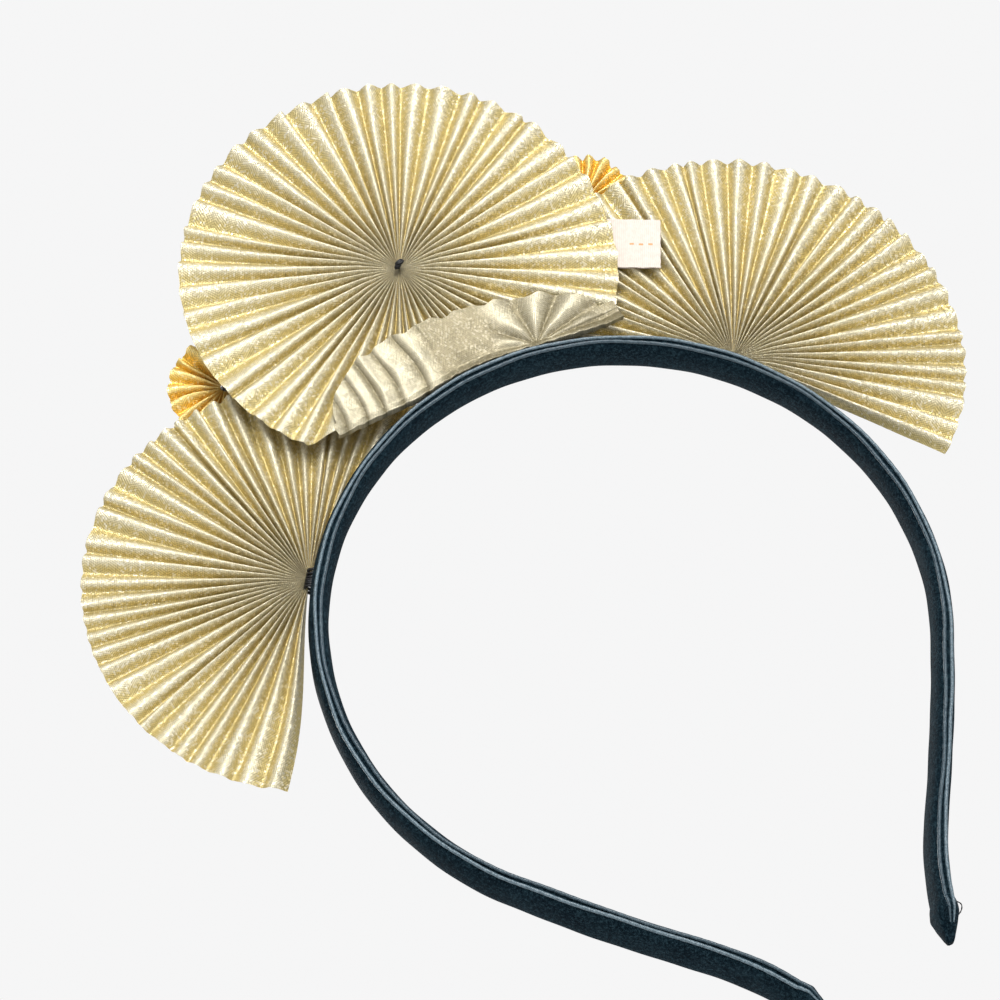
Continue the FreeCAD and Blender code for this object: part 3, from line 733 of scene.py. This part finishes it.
def spring_strip(word, side, amount):
    """The flat strip inside the sleeve."""
    sides = 20
    line, out, back, _ = half_band(side, SLEEVE_STEP, amount)
    a, b = rounded(np.arange(sides) / sides * TAU, STRIP_THICK / 2, STRIP_WIDE / 2, 5)
    grid = swept(line, out, back, a, b)
    return cap(surface(f"{word}_spring_strip", grid, wrap=True), sides, len(line))


def selvedge(word, side, amount, label, offset, seed):
    """A cord-like edge of the ribbon along the band's back, running on over the folded tip."""
    line, out, back, lengths = half_band(side, CORD_STEP, amount)
    start, ahead, tip_out, tip_back = leg_end(side, amount)
    wander = 0.11 * np.sin(lengths / (7 * MM) + seed) + 0.06 * np.sin(lengths / (2.3 * MM) + 2 * seed)
    rise = WIDE / 2 + (0.02 + 0.05 * np.sin(lengths / (3 * MM) + seed)) * MM
    path = line + out * ((offset + wander) * MM)[:, None] + back * rise[:, None]
    t = np.linspace(0.06, 0.62, 28)
    aside = (offset + wander[-1]) * MM * (1 - 0.8 * t)
    rise = (np.interp(t, TIP_STATIONS, TIP_BACK) - 0.05) * MM
    over = start + np.outer(t * TIP - TIP_OVERLAP, ahead)
    over = over + np.outer(aside, tip_out[0]) + np.outer(rise, tip_back[0])
    radius = np.append(np.full(len(path), 0.36), np.linspace(0.36, 0.14, len(over))) * MM
    path = np.concatenate([path, over])
    return tube(f"{word}_selvedge_{label}", path, radius, sides=10, strands=2, depth=0.05, twist=0.42)


def tip_fold(word, side, amount):
    """The ribbon's end, folded and pinched to a point, with a crease on each face."""
    rows, sides = 40, 48
    start, ahead, out, back = leg_end(side, amount)
    t = np.linspace(0, 1, rows)
    half_out = np.interp(t, TIP_STATIONS, TIP_OUT)
    half_back = np.interp(t, TIP_STATIONS, TIP_BACK)
    smooth = np.array([0.25, 0.5, 0.25])
    for _ in range(3):
        half_out[1:-1] = np.convolve(half_out, smooth, "valid")
        half_back[1:-1] = np.convolve(half_back, smooth, "valid")
    turn = np.arange(sides) / sides * TAU
    from_crease = np.abs(((turn - 0.6) % math.pi) - math.pi / 2)
    pinch = 1 - 0.16 * np.exp(-((from_crease / 0.25) ** 2))[None, :] * np.clip(t * 2, 0, 1)[:, None]
    pinch = pinch * (1 + 0.03 * np.sin(9 * turn[None, :] + 14 * t[:, None]) * t[:, None])
    c, s = rounded(turn, 1.0, 1.0, 2.3)
    line = start + np.outer(t * TIP - TIP_OVERLAP, ahead)
    a = half_out[:, None] * c[None, :] * pinch * MM
    b = half_back[:, None] * s[None, :] * pinch * MM
    return cap(surface(f"{word}_tip_velvet", swept(line, out, back, a, b), wrap=True), sides, rows)


def tip_thread(word, side, amount):
    """A loose loop of sewing thread at the folded tip."""
    start, ahead, out, back = leg_end(side, amount)
    root = start + ahead * (THREAD_AT * TIP - TIP_OVERLAP) + out[0] * 2.2 * MM + back[0] * 1.5 * MM
    w = np.linspace(0, 1, 40)
    path = root + np.outer(0.9 * MM * np.sin(math.pi * w), out[0]) \
        + np.outer(2.6 * MM * (w - 0.5), ahead) + np.outer(0.5 * MM * np.sin(TAU * w), back[0])
    return tube(f"{word}_tip_thread", path, 0.12 * MM, sides=6, strands=2, depth=0.2, twist=0.7)


for word, side, amount in (("left", 1, 1.0), ("right", -1, -0.7)):
    leg = f"{word}_leg"
    for piece, finish, slot, node in (
        (velvet_sleeve(word, side, amount), VELVET, "velvet", "velvet"),
        (spring_strip(word, side, amount), STRIP, "spring_strip", "core"),
        (selvedge(word, side, amount, "outer", 0.62, 1.0), SATIN_OUTER, "satin_selvedge", "selvedges"),
        # the inner selvedge takes the darker satin copy, painted shade
        (selvedge(word, side, amount, "inner", -0.5, 4.0), SATIN_SHADED, "satin_selvedge", "selvedges"),
    ):
        piece.data.materials.append(finish)
        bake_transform(piece)
        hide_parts(f"crown_{node}", f"{leg}_{node}")
    place(tip_fold(word, side, amount), leg, "velvet", VELVET, f"{word}_tip_fold")
    place(tip_thread(word, side, amount), leg, "dark_thread", DARK)


# ---------------------------------------------------------------- label
SEWN, FREE, LABEL_WIDE = 4.0 * MM, 8.3 * MM, 11.5 * MM


def tape(name, root, direction, across, length, width, thickness, curl):
    """A doubled tape from root along direction; across is its width. The cloth turns back at the free end."""
    radius = thickness / 2 - 0.06 * MM
    flat_run = length - radius
    steps = np.linspace(0, 1, 40)
    there = [(x * flat_run, radius) for x in steps]
    round_end = np.linspace(0, math.pi, 12)[1:-1]
    turn = [(flat_run + radius * math.sin(a), radius * math.cos(a)) for a in round_end]
    home = [(x * flat_run, -radius) for x in steps[::-1]]
    track = np.array(there + turn + home)
    travelled = np.concatenate([[0], np.cumsum(np.linalg.norm(np.diff(track, axis=0), axis=1))])
    across_steps = np.linspace(-0.5, 0.5, 34)
    grid = np.zeros((len(track), len(across_steps), 3))
    uv = np.zeros((len(track), len(across_steps), 2))
    far = track[:, 0] / length
    for j, w in enumerate(across_steps):
        lift = curl * far**2 * (0.5 + w) ** 2 + 0.12 * MM * np.sin(3 * far + 4 * w) * far
        edge = 0.05 * MM * math.sin(40 * w)
        sideways = w * width + 0.05 * MM * np.sin(travelled / (0.6 * MM))
        grid[:, j] = root + np.outer(track[:, 0] + edge * far, direction) \
            + np.outer(track[:, 1] + lift, (0, 1, 0)) + sideways[:, None] * across
        uv[:, j, 0], uv[:, j, 1] = travelled, w * width
    return surface(name, grid, uv), 2 * length


hinge, axis = hinge_of("label_flip")
towards = np.cross(axis, (0, 1, 0))
low, high = corners("label_tab")
if towards @ ((low + high) / 2 - hinge) < 0:
    towards = -towards
tab, cut = tape(
    "label_tape", hinge - towards * SEWN, towards, axis, SEWN + FREE, LABEL_WIDE, high[1] - low[1], 0.5 * MM
)
tab.data.materials.append(cotton_tape(SEWN, FREE))
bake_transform(tab)
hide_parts("label_hem", "label_tab")

# ---------------------------------------------------------------- floor, light and camera
bpy.ops.mesh.primitive_grid_add(x_subdivisions=16, y_subdivisions=16, size=30, location=(0, 0, -0.4))
floor = bpy.context.object
floor.name = "floor"
paper = Finish("floor_paper")
grain = paper.noise(paper.node("TexCoord").outputs["Object"], 40.0, 3.0)
floor.data.materials.append(paper.shade(
    Base_Color=paper.mix(grain, (0.24, 0.243, 0.249, 1), (0.26, 0.263, 0.269, 1)), Roughness=0.9,
    Specular_IOR_Level=0.1, Emission_Color=(0.91, 0.91, 0.912, 1), Emission_Strength=0.8,
))

AZ, EL, ROLL = math.radians(16.85), math.radians(-22.09), math.radians(35.72)
EYE_AWAY, EYE_LEFT, EYE_ABOVE = 0.7, 0.02512, 0.02329
ca, sa = math.cos(AZ), math.sin(AZ)
ce, se = math.cos(EL), math.sin(EL)
cr, sr = math.cos(ROLL), math.sin(ROLL)
turned = np.array([[cr, -sr, 0], [sr, cr, 0], [0, 0, 1]]) @ np.array([[1, 0, 0], [0, ce, -se], [0, se, ce]]) \
    @ np.array([[ca, 0, sa], [0, 1, 0], [-sa, 0, ca]])
right, above, behind = [np.array([-row[0], row[2], row[1]]) for row in turned]
aim = np.array([0, 0, 0.22]) * MM
eye = aim + behind * EYE_AWAY - right * EYE_LEFT + above * EYE_ABOVE
camera = bpy.data.objects.new("camera", bpy.data.cameras.new("camera"))
bpy.context.scene.collection.objects.link(camera)
camera.data.lens, camera.data.sensor_width = 130.56, 36.0
camera.data.clip_start, camera.data.clip_end = 0.02, 20.0
camera.matrix_world = Matrix([
    [right[0], above[0], behind[0], eye[0]],
    [right[1], above[1], behind[1], eye[1]],
    [right[2], above[2], behind[2], eye[2]],
    [0, 0, 0, 1],
])
bpy.context.scene.camera = camera


def softbox(name, direction, distance, width, height, power, colour=(1, 1, 1), up_hint=(0, 0, 1)):
    data = bpy.data.lights.new(name, "AREA")
    data.shape, data.size, data.size_y = "RECTANGLE", width, height
    data.energy, data.color = power, colour
    lamp = bpy.data.objects.new(name, data)
    bpy.context.scene.collection.objects.link(lamp)
    back = Vector(direction).normalized()
    side = Vector(up_hint).cross(back).normalized()
    top = back.cross(side)
    at = Vector((0, 0, 0.04)) + back * distance
    lamp.matrix_world = Matrix([
        [side[0], top[0], back[0], at[0]],
        [side[1], top[1], back[1], at[1]],
        [side[2], top[2], back[2], at[2]],
        [0, 0, 0, 1],
    ])


softbox("key", above * 0.85 + behind * 0.55, 1.1, 0.16, 1.0, 12.5, up_hint=tuple(above))
softbox("front_fill", (0.3, -1, 0.5), 1.3, 0.8, 0.8, 10)

world = bpy.data.worlds.new("studio")
world.use_nodes = True
bpy.context.scene.world = world
tree = world.node_tree
output = tree.nodes["World Output"]
seen = tree.nodes["Background"]
seen.inputs["Color"].default_value = (0.92, 0.92, 0.922, 1)
seen.inputs["Strength"].default_value = 1.0
ambient = tree.nodes.new("ShaderNodeBackground")
ambient.inputs["Color"].default_value = (0.97, 0.985, 1.0, 1)
ambient.inputs["Strength"].default_value = 0.53
path = tree.nodes.new("ShaderNodeLightPath")
mixer = tree.nodes.new("ShaderNodeMixShader")
tree.links.new(path.outputs["Is Camera Ray"], mixer.inputs[0])
tree.links.new(ambient.outputs[0], mixer.inputs[1])
tree.links.new(seen.outputs[0], mixer.inputs[2])
tree.links.new(mixer.outputs[0], output.inputs["Surface"])
bpy.context.scene.view_settings.view_transform = "Standard"
